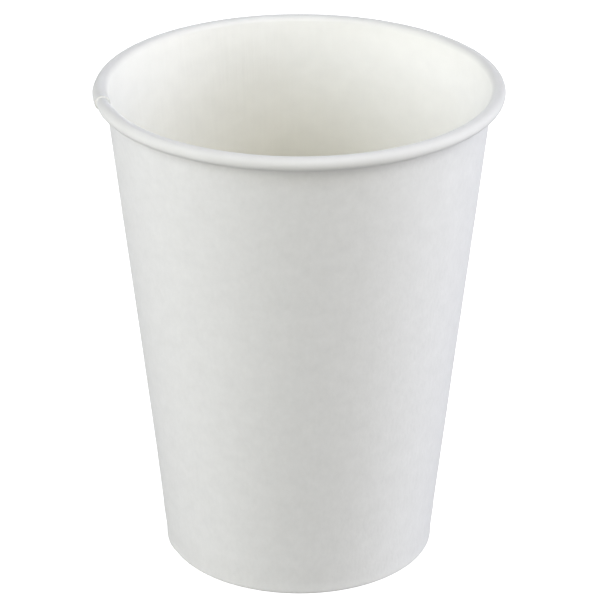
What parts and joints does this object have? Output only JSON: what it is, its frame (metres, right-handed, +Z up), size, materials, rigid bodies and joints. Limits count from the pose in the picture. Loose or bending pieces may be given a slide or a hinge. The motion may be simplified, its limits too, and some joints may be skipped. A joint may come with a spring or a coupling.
{
  "type": "paper coffee cup",
  "caption": "Plain white paper hot-drink cup: tapered paperboard wall with a rolled rim, lapped side seam and hemmed foot, and a recessed bottom disc held in the hem.",
  "frame": {"origin": "centre of the foot ring, on the plane that the cup stands on", "axes": "+Z up along the cup's axis, from the foot to the rim; +Y away from the picture's camera, +X to its right; the side seam runs up the wall at 187 degrees about +Z from +X"},
  "size_m": [0.0901, 0.09, 0.1112],
  "materials": {
    "wall_board": "matte uncoated white board outside, thin film on the inside",
    "base_board": "thin film on the upper face, matte white board underneath"
  },
  "bodies": {
    "root": {"sidewall": "wall_board", "bottom_disc": "base_board"}
  },
  "joints": []
}
